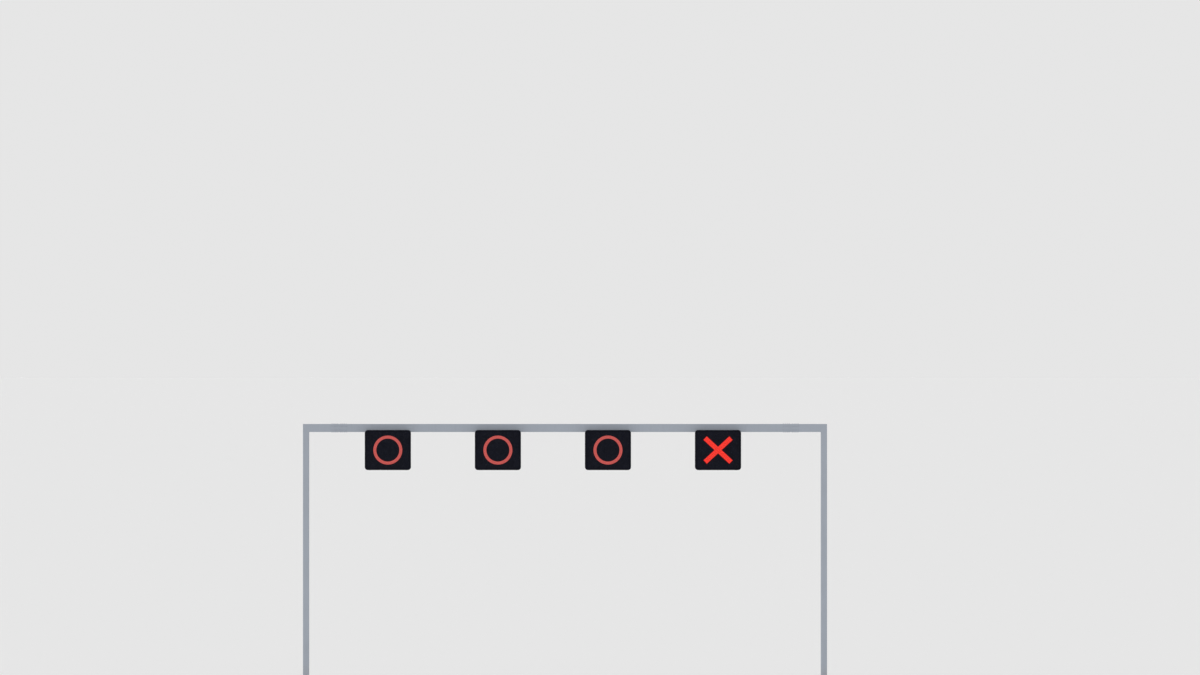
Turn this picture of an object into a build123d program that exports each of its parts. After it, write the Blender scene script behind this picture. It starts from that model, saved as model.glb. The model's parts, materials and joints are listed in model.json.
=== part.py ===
from build123d import *
import os
from math import atan2, degrees, hypot

# Overhead sign gantry: a welded steel portal over a road, with lamp matrix signs hung under its beam.
# All sizes are in millimetres. X runs along the beam, from the left post to the right one as a driver
# sees them. Y is the way the traffic goes, so the signs face -Y. Z is up.
# The origin is the centre of the left base plate's underside, where the gantry meets its foundation.

# Layout over the road
headroom = 7175.0  # from the foundation to the signs' lower edge
sign_count = 4
sign_pitch = 3650.0  # one traffic lane
left_margin = 2720.0  # from the left post's axis to the first sign's middle
right_margin = 3520.0  # from the last sign's middle to the right post's axis
crossed_sign = 4  # the sign that shows the closed lane, counted from the left

# Posts, of rectangular hollow section
post_width = 200.0
post_depth = 400.0
post_wall = 10.0
post_corner_radius = 15.0
least_inner_radius = 2.0  # of the inner corners in every hollow section

# Beam, a box of welded plate, as deep from front to back as the posts
beam_height = 265.0
beam_wall = 10.0
beam_corner_radius = 8.0
end_cap_thickness = 10.0

# Bolted splices between the beam's main length and the short lengths welded on the posts. Their plates are
# inside the beam, so that it looks straight and smooth from outside.
splice_distance = 1100.0  # from a post's axis to the splice's middle
splice_gap = 4.0
splice_plate_length = 560.0
splice_plate_thickness = 12.0
splice_plate_clearance = 6.0  # between neighbouring plates, in the beam's inner corners

# Base plates and their anchor holes
base_plate_width = 500.0
base_plate_depth = 700.0
base_plate_thickness = 40.0
base_plate_corner_radius = 15.0
anchor_hole_diameter = 42.0
anchor_columns = 2
anchor_rows = 3
anchor_column_spacing = 350.0
anchor_row_spacing = 275.0

# Stiffening ribs between the posts and their base plates
rib_thickness = 15.0
rib_height = 250.0
rib_toe = 25.0  # height of the rib's outer end
rib_land = 20.0  # width of the rib's upper end
rib_cope = 18.0  # cut corner that clears the post's weld
rib_edge = 22.0  # from the rib's outer end to the plate's edge
side_rib_spacing = 260.0
end_rib_spacing = 110.0

# Cable access holes low in the posts' rear faces, with screwed covers
hand_hole_width = 110.0
hand_hole_height = 350.0
hand_hole_middle = 1000.0  # height over the foundation
hand_hole_radius = 40.0
cover_lap = 25.0
cover_thickness = 5.0

# Sign cases
sign_width = 1525.0
sign_height = 1325.0
sign_depth = 300.0
sign_corner_radius = 100.0
sign_edge_radius = 5.0
case_wall = 3.0
sign_overlap = 65.0  # how far the case rises past the beam's underside
sign_gap = 15.0  # from the beam's front to the case's back
bezel_width = 25.0
bezel_depth = 12.0
face_thickness = 4.0
face_clearance = 0.3

# Lamp fields on the sign faces
lamp_thickness = 8.0
ring_diameter = 862.0  # of the ring's middle line
ring_stroke = 100.0
cross_width = 862.0  # between the ends of the arms' middle lines
cross_height = 796.0
cross_stroke = 166.0

# Service doors in the cases' backs
door_width = 700.0
door_height = 760.0
door_depth = 20.0
door_wall = 2.5
door_lap = 20.0
door_corner_radius = 20.0

# Rails across the cases' backs, and the hangers that carry them under the beam
rail_length = 1200.0
rail_height = 60.0
rail_depth = 60.0
rail_wall = 4.0
rail_corner_radius = 6.0
rail_inset = 205.0  # from the case's upper and lower edges to the rails' axes
hanger_spacing = 1000.0
hanger_width = 60.0
hanger_depth = 100.0
hanger_wall = 5.0
hanger_corner_radius = 8.0
hanger_end_gap = 60.0  # from the case's lower edge up to the hangers' ends
hanger_cap_thickness = 5.0
hanger_plate_width = 200.0
hanger_plate_thickness = 15.0
hanger_plate_edge = 5.0  # from the beam's front to the plate's front edge
hanger_plate_heel = 45.0  # past the hanger's back

# Cable conduits from the beam into the cases' backs
conduit_diameter = 32.0
conduit_radius = 70.0  # of the bend's middle line
conduit_setback = 100.0  # from the beam's front to the conduit's axis
conduit_lead = 40.0  # straight length under the beam
gland_diameter = 50.0
gland_length = 20.0

# Places that follow from the sizes
UP = Vector(0, 0, 1)
span = left_margin + (sign_count - 1) * sign_pitch + right_margin
sign_places = [left_margin + n * sign_pitch for n in range(sign_count)]
beam_depth = post_depth
beam_front = -beam_depth / 2
sign_back = beam_front - sign_gap
sign_front = sign_back - sign_depth
sign_top = headroom + sign_height
sign_middle = headroom + sign_height / 2
beam_underside = sign_top - sign_overlap
beam_top = beam_underside + beam_height
beam_middle = beam_underside + beam_height / 2
beam_start = -post_width / 2
beam_end = span + post_width / 2
left_splice = splice_distance
right_splice = span - splice_distance
rail_back = sign_back + rail_depth


def block(x_range, y_range, z_range):
    """A plain rectangular solid between the given limits."""
    low = (x_range[0], y_range[0], z_range[0])
    size = [high - start for start, high in (x_range, y_range, z_range)]
    return Pos(*low) * Box(*size, align=(Align.MIN, Align.MIN, Align.MIN))


def hollow_section(width, height, wall, radius):
    """The outline of a rectangular hollow section; the inner corners keep the wall's thickness."""
    inner_radius = max(radius - wall, least_inner_radius)
    inner = RectangleRounded(width - 2 * wall, height - 2 * wall, inner_radius)
    return RectangleRounded(width, height, radius) - inner


def along_x(outline, x_range, y, z):
    """An outline with Y across and Z up, drawn out from one X to another."""
    place = Plane(origin=(x_range[0], y, z), x_dir=(0, 1, 0), z_dir=(1, 0, 0))
    return extrude(place * outline, amount=x_range[1] - x_range[0])


def facing_front(outline, x, z, back, thickness):
    """An outline with X across and Z up, drawn out towards the traffic from the plane y = back."""
    place = Plane(origin=(x, back, z), x_dir=(1, 0, 0), z_dir=(0, -1, 0))
    return extrude(place * outline, amount=thickness)


def post(x):
    """One hollow post, from its base plate to the beam's underside, with its cable access hole."""
    section = hollow_section(post_width, post_depth, post_wall, post_corner_radius)
    tube = extrude(Pos(x, 0, base_plate_thickness) * section, amount=beam_underside - base_plate_thickness)
    hole = RectangleRounded(hand_hole_width, hand_hole_height, hand_hole_radius)
    return tube - facing_front(hole, x, hand_hole_middle, post_depth / 2, 2 * post_wall)


def hand_hole_cover(x):
    """The plate screwed over a post's cable access hole."""
    outline = RectangleRounded(
        hand_hole_width + 2 * cover_lap, hand_hole_height + 2 * cover_lap, hand_hole_radius + cover_lap / 2
    )
    return facing_front(outline, x, hand_hole_middle, post_depth / 2 + cover_thickness, cover_thickness)


def base_plate(x):
    """One base plate with its anchor holes."""
    outline = RectangleRounded(base_plate_width, base_plate_depth, base_plate_corner_radius)
    anchors = GridLocations(anchor_column_spacing, anchor_row_spacing, anchor_columns, anchor_rows)
    outline -= [place * Circle(anchor_hole_diameter / 2) for place in anchors]
    return extrude(Pos(x, 0, 0) * outline, amount=base_plate_thickness)


def rib(x, y, outward, length):
    """One upright rib that stands on a base plate and runs outward from a post's face."""
    corners = [
        (rib_cope, 0),
        (length, 0),
        (length, rib_toe),
        (rib_land, rib_height),
        (0, rib_height),
        (0, rib_cope),
    ]
    outline = make_face(Polyline(*corners, close=True))
    place = Plane(origin=(x, y, base_plate_thickness), x_dir=outward, z_dir=Vector(*outward).cross(UP))
    return extrude(place * outline, amount=rib_thickness / 2, both=True)


def base_ribs(x):
    """The ribs round one post's foot: a pair on each of its four faces."""
    side_length = (base_plate_width - post_width) / 2 - rib_edge
    end_length = (base_plate_depth - post_depth) / 2 - rib_edge
    ribs = []
    for side in (-1, 1):
        for half in (-0.5, 0.5):
            ribs.append(rib(x + side * post_width / 2, half * side_rib_spacing, (side, 0, 0), side_length))
            ribs.append(rib(x + half * end_rib_spacing, side * post_depth / 2, (0, side, 0), end_length))
    return Compound(children=ribs)


def beam_length(x_range):
    """One length of the hollow beam."""
    section = hollow_section(beam_depth, beam_height, beam_wall, beam_corner_radius)
    return along_x(section, x_range, 0, beam_middle)


def end_cap(x_range):
    """The plate that closes one end of the beam."""
    return along_x(RectangleRounded(beam_depth, beam_height, beam_corner_radius), x_range, 0, beam_middle)


def splice_plates(x):
    """The four plates inside one splice, against the beam's front, back, upper and lower walls."""
    length = (x - splice_plate_length / 2, x + splice_plate_length / 2)
    front, back = beam_front + beam_wall, -beam_front - beam_wall
    floor, ceiling = beam_underside + beam_wall, beam_top - beam_wall
    margin = splice_plate_thickness + splice_plate_clearance
    upright = (floor + margin, ceiling - margin)
    level = (front + margin, back - margin)
    plates = [
        block(length, (front, front + splice_plate_thickness), upright),
        block(length, (back - splice_plate_thickness, back), upright),
        block(length, level, (ceiling - splice_plate_thickness, ceiling)),
        block(length, level, (floor, floor + splice_plate_thickness)),
    ]
    return Compound(children=plates)


def hangers(x):
    """The two hollow hangers of one sign, each with its bolting plate and its lower cap."""
    lower_end = headroom + hanger_end_gap
    upper_end = beam_underside - hanger_plate_thickness
    middle = rail_back + hanger_depth / 2
    plate_depth = (beam_front + hanger_plate_edge, rail_back + hanger_depth + hanger_plate_heel)
    outline = RectangleRounded(hanger_width, hanger_depth, hanger_corner_radius)
    section = hollow_section(hanger_width, hanger_depth, hanger_wall, hanger_corner_radius)
    pair = []
    for half in (-0.5, 0.5):
        place = x + half * hanger_spacing
        tube = extrude(Pos(place, middle, lower_end) * section, amount=upper_end - lower_end)
        cap = extrude(Pos(place, middle, lower_end) * outline, amount=hanger_cap_thickness)
        plate_width = (place - hanger_plate_width / 2, place + hanger_plate_width / 2)
        pair.append(tube + cap + block(plate_width, plate_depth, (upper_end, beam_underside)))
    return Compound(children=pair)


def rails(x):
    """The two hollow rails across the back of one sign."""
    section = hollow_section(rail_depth, rail_height, rail_wall, rail_corner_radius)
    length = (x - rail_length / 2, x + rail_length / 2)
    heights = (headroom + rail_inset, sign_top - rail_inset)
    return Compound(children=[along_x(section, length, sign_back + rail_depth / 2, z) for z in heights])


def case(x):
    """One sign's case: folded walls, a back with the service opening, and a bezel round the face."""
    outline = RectangleRounded(sign_width, sign_height, sign_corner_radius)
    body = facing_front(outline, x, sign_middle, sign_back, sign_depth)
    front_rim = body.faces().sort_by(Axis.Y)[0].edges()
    body = fillet(front_rim, sign_edge_radius)
    inside = RectangleRounded(
        sign_width - 2 * case_wall, sign_height - 2 * case_wall, sign_corner_radius - case_wall
    )
    room = sign_depth - case_wall - bezel_depth
    body -= facing_front(inside, x, sign_middle, sign_back - case_wall, room)
    window = RectangleRounded(
        sign_width - 2 * bezel_width, sign_height - 2 * bezel_width, sign_corner_radius - bezel_width
    )
    body -= facing_front(window, x, sign_middle, sign_front + bezel_depth, bezel_depth)
    service = RectangleRounded(door_width - 2 * door_lap, door_height - 2 * door_lap, door_corner_radius)
    return body - facing_front(service, x, sign_middle, sign_back, case_wall)


def face(x):
    """The dark panel that carries one sign's lamps, set behind the bezel."""
    margin = case_wall + face_clearance
    outline = RectangleRounded(
        sign_width - 2 * margin, sign_height - 2 * margin, sign_corner_radius - margin
    )
    return facing_front(outline, x, sign_middle, sign_front + bezel_depth + face_thickness, face_thickness)


def lamp_ring(x):
    """The ring of lamps that marks a lane's limit sign."""
    outline = Circle((ring_diameter + ring_stroke) / 2) - Circle((ring_diameter - ring_stroke) / 2)
    return facing_front(outline, x, sign_middle, sign_front + bezel_depth, lamp_thickness)


def lamp_cross(x):
    """The cross of lamps that marks a closed lane."""
    arm = Rectangle(hypot(cross_width, cross_height), cross_stroke)
    slope = degrees(atan2(cross_height, cross_width))
    outline = Rot(0, 0, slope) * arm + Rot(0, 0, -slope) * arm
    return facing_front(outline, x, sign_middle, sign_front + bezel_depth, lamp_thickness)


def service_door(x):
    """The shallow tray that closes the opening in one case's back."""
    back = sign_back + door_depth
    tray = facing_front(
        RectangleRounded(door_width, door_height, door_corner_radius), x, sign_middle, back, door_depth
    )
    inside = RectangleRounded(
        door_width - 2 * door_wall, door_height - 2 * door_wall, door_corner_radius - door_wall
    )
    return tray - facing_front(inside, x, sign_middle, back - door_wall, door_depth - door_wall)


def conduit(x):
    """The conduit that takes one sign's cables from the beam into its case, with a gland at each end."""
    side = x + (rail_length / 2 + sign_width / 2) / 2  # midway between the rails' ends and the case's side
    start = Vector(side, beam_front + conduit_setback, beam_underside)
    bend = start - UP * (conduit_lead + conduit_radius)
    finish = Vector(side, sign_back, bend.Z)
    route = FilletPolyline(start, bend, finish, radius=conduit_radius)
    pipe = sweep(Plane(origin=start, z_dir=-UP) * Circle(conduit_diameter / 2), path=route)
    upper = extrude(Plane(origin=start, z_dir=-UP) * Circle(gland_diameter / 2), amount=gland_length)
    lower = extrude(Plane(origin=finish, z_dir=(0, 1, 0)) * Circle(gland_diameter / 2), amount=gland_length)
    return pipe + upper + lower


def sign_parts(number, x):
    """Every piece of one sign, by name."""
    name = f"sign_{number}_"
    symbol = {name + "cross": lamp_cross(x)} if number == crossed_sign else {name + "ring": lamp_ring(x)}
    return {
        name + "case": case(x),
        name + "face": face(x),
        **symbol,
        name + "door": service_door(x),
        name + "rails": rails(x),
        name + "hangers": hangers(x),
        name + "conduit": conduit(x),
    }


def frame_parts():
    """Every piece of the portal, by name."""
    half_gap = splice_gap / 2
    parts = {
        "left_beam_end_cap": end_cap((beam_start, beam_start + end_cap_thickness)),
        "left_knee_beam": beam_length((beam_start + end_cap_thickness, left_splice - half_gap)),
        "left_splice_plates": splice_plates(left_splice),
        "main_beam": beam_length((left_splice + half_gap, right_splice - half_gap)),
        "right_splice_plates": splice_plates(right_splice),
        "right_knee_beam": beam_length((right_splice + half_gap, beam_end - end_cap_thickness)),
        "right_beam_end_cap": end_cap((beam_end - end_cap_thickness, beam_end)),
    }
    for side, x in (("left", 0.0), ("right", span)):
        parts[side + "_base_plate"] = base_plate(x)
        parts[side + "_base_ribs"] = base_ribs(x)
        parts[side + "_post"] = post(x)
        parts[side + "_hand_hole_cover"] = hand_hole_cover(x)
    return parts


parts = frame_parts()
for number, place in enumerate(sign_places, start=1):
    parts.update(sign_parts(number, place))

os.makedirs("parts", exist_ok=True)
for node, shape in parts.items():
    export_step(shape, f"parts/{node}.step")
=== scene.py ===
import json
import math
import random

import bpy
from mathutils import Matrix, Vector


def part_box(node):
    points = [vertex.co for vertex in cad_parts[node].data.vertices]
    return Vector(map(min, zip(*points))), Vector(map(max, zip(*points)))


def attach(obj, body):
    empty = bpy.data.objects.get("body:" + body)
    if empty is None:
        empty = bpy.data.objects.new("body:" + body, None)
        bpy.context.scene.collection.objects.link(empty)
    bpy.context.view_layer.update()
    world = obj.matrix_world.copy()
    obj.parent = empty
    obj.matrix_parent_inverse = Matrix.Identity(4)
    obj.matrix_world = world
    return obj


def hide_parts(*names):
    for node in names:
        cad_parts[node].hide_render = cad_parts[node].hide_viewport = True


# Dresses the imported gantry: materials for its solids, then welds, fasteners, lamps and fittings.
# Lengths are in metres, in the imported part's frame. The signs face -Y, and Z is up.

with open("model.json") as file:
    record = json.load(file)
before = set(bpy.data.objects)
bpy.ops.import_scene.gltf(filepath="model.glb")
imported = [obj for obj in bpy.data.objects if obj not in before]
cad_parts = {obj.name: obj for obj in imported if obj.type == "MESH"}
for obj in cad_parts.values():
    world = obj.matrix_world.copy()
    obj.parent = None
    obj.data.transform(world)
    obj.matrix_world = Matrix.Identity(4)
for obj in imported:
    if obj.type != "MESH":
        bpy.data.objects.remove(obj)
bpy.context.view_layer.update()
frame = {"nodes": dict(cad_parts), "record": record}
nodes = frame["nodes"]
chance = random.Random(7)

SIDES = ("left", "right")
SIGNS = ("sign_1_", "sign_2_", "sign_3_", "sign_4_")
X, Y, Z = Vector((1, 0, 0)), Vector((0, 1, 0)), Vector((0, 0, 1))
SUNK = 0.0005  # how far a fitting reaches into what it stands on


def middle(node):
    """The middle of a node's box."""
    low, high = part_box(node)
    return (low + high) / 2


def put(tree, socket, value):
    """Sets an input socket, or links it if the value is another node's output."""
    if isinstance(value, bpy.types.NodeSocket):
        tree.links.new(value, socket)
    else:
        socket.default_value = value


def add_node(tree, kind, inputs=None, **settings):
    """Adds a shader node, makes its settings, sets or links its inputs, and gives its outputs."""
    node = tree.nodes.new("ShaderNode" + kind)
    for name, value in settings.items():
        setattr(node, name, value)
    for socket, value in (inputs or {}).items():
        put(tree, node.inputs[socket], value)
    return node.outputs


def add_object(name, data):
    """Puts an object into the scene."""
    made = bpy.data.objects.new(name, data)
    bpy.context.scene.collection.objects.link(made)
    return made


def add_mesh(name, points, faces, material):
    """Puts a mesh of one material into the scene."""
    mesh = bpy.data.meshes.new(name)
    mesh.from_pydata(points, [], faces)
    mesh.materials.append(material)
    return add_object(name, mesh)


# Camera: the drawing is a flat elevation, so the view is level, square on and from far away
LANE_WIDTH, SIGNS_APART = 3.65, 110  # the same distance in metres and in the picture's pixels
METRES_PER_PIXEL = LANE_WIDTH / SIGNS_APART
WIDTH, HEIGHT = 1200, 675  # of the picture
EYE_COLUMN, EYE_ROW, BEAM_TOP_ROW = 565, 360, 424
CAMERA_DISTANCE = 400.0
CLIP_END = 16000.0
SENSOR = 36.0


def add_camera():
    """The camera at the drawing's horizon and vanishing point."""
    beam_low, beam_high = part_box("main_beam")
    height = beam_high.z + (BEAM_TOP_ROW - EYE_ROW) * METRES_PER_PIXEL
    data = bpy.data.cameras.new("camera")
    data.sensor_width = SENSOR
    data.lens = SENSOR * CAMERA_DISTANCE / METRES_PER_PIXEL / WIDTH
    data.shift_x = (WIDTH / 2 - EYE_COLUMN) / WIDTH
    data.shift_y = (EYE_ROW - HEIGHT / 2) / WIDTH
    data.clip_end = CLIP_END
    camera = add_object("camera", data)
    camera.location = (middle("main_beam").x, beam_low.y - CAMERA_DISTANCE, height)
    camera.rotation_euler = (math.pi / 2, 0, 0)
    bpy.context.scene.camera = camera


# Light: an even pale surround and one broad lamp from the upper left
SKY_LIGHT = 0.76
SHOWN_SKY = 0.79
LAMP_STRENGTH = 0.9
LAMP_SPREAD, LAMP_TILT, LAMP_TURN = 35, 50, -38  # degrees


def add_light():
    """The surround, which is also seen behind the part, and one lamp."""
    world = bpy.data.worlds.new("surround")
    bpy.context.scene.world = world
    world.use_nodes = True
    tree = world.node_tree
    tree.nodes.clear()
    path = add_node(tree, "LightPath")
    either = {0: path["Is Glossy Ray"], 1: path["Is Transmission Ray"]}
    seen = {0: path["Is Camera Ray"], 1: add_node(tree, "Math", either, operation="MAXIMUM")[0]}
    mixed = {0: add_node(tree, "Math", seen, operation="MAXIMUM")[0]}
    for socket, strength in ((1, SKY_LIGHT), (2, SHOWN_SKY)):
        mixed[socket] = add_node(tree, "Background", {"Color": (1, 1, 1, 1), "Strength": strength})[0]
    add_node(tree, "OutputWorld", {0: add_node(tree, "MixShader", mixed)[0]})
    lamp = bpy.data.lights.new("lamp", "SUN")
    lamp.energy = LAMP_STRENGTH
    lamp.angle = math.radians(LAMP_SPREAD)
    holder = add_object("lamp", lamp)
    holder.rotation_euler = (math.radians(LAMP_TILT), 0, math.radians(LAMP_TURN))


class Soup:
    """Points and faces gathered for one joined mesh."""

    def __init__(self):
        self.points = []
        self.faces = []

    def stack(self, rings, place=None, looped=False):
        """Joins rings into a closed skin. Its ends are capped unless it is looped."""
        start, count = len(self.points), len(rings[0])
        for ring in rings:
            self.points += [place @ Vector(p) for p in ring] if place else ring
        for row in range(len(rings) if looped else len(rings) - 1):
            low = start + row * count
            high = start + (row + 1) % len(rings) * count
            for i in range(count):
                after = (i + 1) % count
                self.faces.append((low + i, low + after, high + after, high + i))
        if not looped:
            self.faces.append(tuple(reversed(range(start, start + count))))
            self.faces.append(tuple(range(len(self.points) - count, len(self.points))))

    def copies(self, points, faces, places):
        """The same small skin at many places, each a shift."""
        for place in places:
            start = len(self.points)
            self.points += [(x + place[0], y + place[1], z + place[2]) for x, y, z in points]
            self.faces += [tuple(start + i for i in face) for face in faces]

    def piece(self, name, material, slot, sharp_from=38):
        """The mesh as an object that rides on the part, with edges sharp from this angle in degrees."""
        made = add_mesh(name, self.points, self.faces, material)
        made.data.shade_smooth()
        made.data.set_sharp_from_angle(angle=math.radians(sharp_from))
        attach(made, "root")
        return made


FINE, FAIR, COARSE, ROUGH = 24, 20, 16, 12  # sides of turned shapes, from large to small ones


def turned(profile, sides):
    """The rings of a shape turned round the Z axis, from (radius, height) pairs."""
    angles = [2 * math.pi * i / sides for i in range(sides)]
    rings = []
    for radius, height in profile:
        rings.append([Vector((radius * math.cos(a), radius * math.sin(a), height)) for a in angles])
    return rings


def disc(radius, low, high, edge, sides):
    """The rings of a round plate with its upper edge chamfered."""
    return turned([(radius, low), (radius, high - edge), (radius - edge, high)], sides)


def facing(point, outward, turn=0.0):
    """A place whose own Z points outward. Outward X, Y and -Y give it an own X along Y, -X and X."""
    upright = outward.to_track_quat("Z", "Y").to_matrix().to_4x4()
    return Matrix.Translation(point) @ upright @ Matrix.Rotation(turn, 4, "Z")


def track(width, height, radius, step=None, arcs=6):
    """Points and outward directions round a rounded rectangle, with its straights divided by any step."""
    found = []
    x, y = width / 2 - radius, height / 2 - radius
    centres = [Vector((x, y, 0)), Vector((-x, y, 0)), Vector((-x, -y, 0)), Vector((x, -y, 0))]
    for index, centre in enumerate(centres):
        for i in range(arcs + 1):
            angle = math.pi / 2 * (index + i / arcs)
            out = Vector((math.cos(angle), math.sin(angle), 0))
            found.append((centre + out * radius, out))
        if step:
            start, end = found[-1][0], centres[(index + 1) % 4] + out * radius
            parts = max(2, int(2 * (x, y)[index % 2] / step))
            found += [(start.lerp(end, i / parts), out) for i in range(1, parts)]
    return found


def plate(soup, outlines, radius, arcs, place=None):
    """A plate with rounded corners, from outlines of width, height and level on its own Z."""
    rings = []
    for width, height, level in outlines:
        rings.append([point + Z * level for point, _ in track(width, height, radius, arcs=arcs)])
    soup.stack(rings, place)


def swept_round(soup, size, radius, place, section, step=None, arcs=6):
    """Sweeps a section, made from point, outward direction and index, round a rounded rectangle."""
    rings = []
    for index, (point, out) in enumerate(track(*size, radius, step, arcs)):
        rings.append([place @ p for p in reversed(section(point, out, index))])
    soup.stack(rings, looped=True)


def rimmed(soup, size, radius, place, pairs, arcs=6):
    """A strip round a rounded rectangle, from its section's (outward, own Z) pairs, counterclockwise."""

    def section(point, out, _):
        return [point + out * far + Z * up for far, up in pairs]

    swept_round(soup, size, radius, place, section, arcs=arcs)


# Fillet welds, rippled, in the corner where two faces meet
WELD_STEP = 0.002
WELD_SECTION = ((0, 1.0), (22, 0.82), (45, 0.77), (68, 0.82), (90, 1.0))  # degrees and shares of the leg
WELD_RIPPLES = (0.965, 1.01, 1.035)
WELD_WAVERS = ((0.025, 0.29), (0.015, 0.83))  # shares of the leg and turns a section, in radians
WELD_LAG = 0.8  # of a step, at the bead's middle
WELD_ROOT = 0.2  # of the leg, under both faces
WELD_TOE = 0.0004  # how far the lower toe is sunk
WELD_END = 0.002
BEAD_EDGES = 60  # degrees from which a weld's edges are sharp


def swelling(index):
    """How much a weld swells at a section: fine ripples on a slow waver."""
    waver = sum(share * math.sin(index * turn) for share, turn in WELD_WAVERS)
    return WELD_RIPPLES[index % len(WELD_RIPPLES)] + waver


def fillet_ring(point, along, up, leg, index):
    """One section of a fillet weld. Its middle lags, so the ripples are crescents."""
    grown = leg * swelling(index)
    travel = along.cross(up)
    ring = [point - (along + up) * leg * WELD_ROOT]
    for angle, share in WELD_SECTION:
        turn = math.radians(angle)
        rise = math.sin(turn) * grown * share or -WELD_TOE
        reach = along * (math.cos(turn) * grown * share) + up * rise
        ring.append(point + reach + travel * WELD_STEP * WELD_LAG * math.sin(2 * turn))
    return ring


def fillet_round(soup, size, radius, place, leg):
    """A fillet weld round a hollow section on a plate, which the place's own Z points away from."""

    def section(point, out, index):
        return fillet_ring(point, out, Z, leg, index)

    swept_round(soup, size, radius, place, section, WELD_STEP)


def fillet_line(soup, start, end, along, up, leg):
    """A straight fillet weld from one point to another."""
    count = max(3, int((end - start).length / WELD_STEP))
    rings = [fillet_ring(start.lerp(end, i / count), along, up, leg, i) for i in range(count + 1)]
    if (end - start).dot(along.cross(up)) < 0:
        rings = [ring[::-1] for ring in rings]
    soup.stack(rings)


# Butt welds, nearly flat
SEAM_STEP = 0.0035
SEAM_ROOT, SEAM_TOE = 0.002, 0.0003  # how far its root and its toes are sunk
SEAM_CROWN = ((-0.6, 0.8), (0.0, 1.0), (0.6, 0.8))  # shares of the half width and of the height
SEAM_RIPPLE = 0.15
SEAM_WAVER = (0.12, 0.5)  # share of the height and turn a section, in radians
TOE_WAVER = (0.08, 0.7)  # the same for the half width


def seam_round(soup, size, radius, place, half_width, height):
    """A butt weld round a hollow section, in the plane of the place's own X and Y."""

    def section(point, out, index):
        waver = SEAM_WAVER[0] * math.sin(index * SEAM_WAVER[1])
        grown = height * (1 + SEAM_RIPPLE * (index % 2) + waver)
        toe = half_width * (1 + TOE_WAVER[0] * math.sin(index * TOE_WAVER[1]))
        ring = [point - out * SEAM_ROOT, point - Z * toe - out * SEAM_TOE]
        ring += [point + Z * toe * across + out * grown * rise for across, rise in SEAM_CROWN]
        return ring + [point + Z * toe - out * SEAM_TOE]

    swept_round(soup, size, radius, place, section, SEAM_STEP)


# Fasteners, by thread: across flats, head or nut height, washer diameter and washer thickness
M12 = (0.018, 0.0075, 0.024, 0.0025)
M16 = (0.024, 0.010, 0.030, 0.003)
M20 = (0.030, 0.0125, 0.037, 0.003)
M36 = (0.055, 0.029, 0.066, 0.005)
HEXAGON_TOP = 0.94  # the chamfered face's share of the width across flats
SIXTH = math.pi / 3  # the turn after which a hexagon looks the same
LAP = 0.0002  # how far a head or nut reaches into its washer
WASHER_EDGE, HEAD_EDGE = 0.25, 0.2  # chamfers, as shares of the thickness and of the height
ANCHOR_RADIUS, SHANK_RADIUS, SHANK_TOP = 0.018, 0.017, 0.001
ANCHOR_THREAD = (0.0016, 0.004)  # depth and pitch
ANCHOR_EDGES = (0.001, 0.004, 0.003)  # chamfers of the washer, the nut and the lock nut
LOCK_NUT, LOCK_GAP = 0.018, 0.0004
ROD_END, ROD_LAP = 0.026, 0.002  # thread over the lock nut and within it
SCREW_HEIGHT = 0.62  # of its head's radius
SCREW_HEAD = ((1.0, 0.35), (0.86, 0.8), (0.6, 1.0), (0.42, 1.0), (0.42, 0.4))  # shares of radius and height


def hexagon(across, low, high, chamfer):
    """The rings of a hexagon head or nut, with its upper edge chamfered."""
    corner = across / math.sqrt(3)
    return turned([(corner, low), (corner, high - chamfer), (across / 2 * HEXAGON_TOP, high)], 6)


def bolt(soup, point, outward, size):
    """A hexagon head on its washer."""
    across, height, washer, thickness = size
    place = facing(point, outward, chance.uniform(0, SIXTH))
    soup.stack(disc(washer / 2, -SUNK, thickness, thickness * WASHER_EDGE, FAIR), place)
    soup.stack(hexagon(across, thickness - LAP, thickness + height, height * HEAD_EDGE), place)


def thread(radius, depth, pitch, low, high, sides=COARSE):
    """The rings of a threaded end with a chamfered tip."""
    count = int((high - low) / pitch)
    profile = []
    for i in range(count):
        profile += [(radius - depth, low + pitch * i), (radius, low + pitch * (i + 0.5))]
    top = low + pitch * count
    return turned(profile + [(radius - depth, top), (radius - 2 * depth, top + depth)], sides)


def anchor(soup, point, thickness):
    """An anchor bolt in a base plate: its rod from the foundation up, a washer, a nut and a lock nut."""
    across, height, washer, washer_top = M36
    washer_edge, nut_edge, lock_edge = ANCHOR_EDGES
    place = facing(point, Z, chance.uniform(0, SIXTH))
    nut_top = washer_top + height
    lock_top = nut_top + LOCK_NUT
    soup.stack(turned([(SHANK_RADIUS, -thickness), (SHANK_RADIUS, SHANK_TOP)], COARSE), place)
    soup.stack(disc(washer / 2, -SUNK, washer_top, washer_edge, FINE), place)
    soup.stack(hexagon(across, washer_top - LAP, nut_top, nut_edge), place)
    turn = Matrix.Rotation(chance.uniform(0, SIXTH), 4, "Z")
    soup.stack(hexagon(across, nut_top + LOCK_GAP, lock_top, lock_edge), place @ turn)
    soup.stack(thread(ANCHOR_RADIUS, *ANCHOR_THREAD, lock_top - ROD_LAP, lock_top + ROD_END), place)


def socket_screw(soup, point, outward, radius):
    """A low round head with a driver's recess."""
    height = radius * SCREW_HEIGHT
    profile = [(radius, -SUNK)] + [(radius * out, height * up) for out, up in SCREW_HEAD]
    soup.stack(turned(profile, ROUGH), facing(point, outward, chance.uniform(0, math.pi)))


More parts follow.
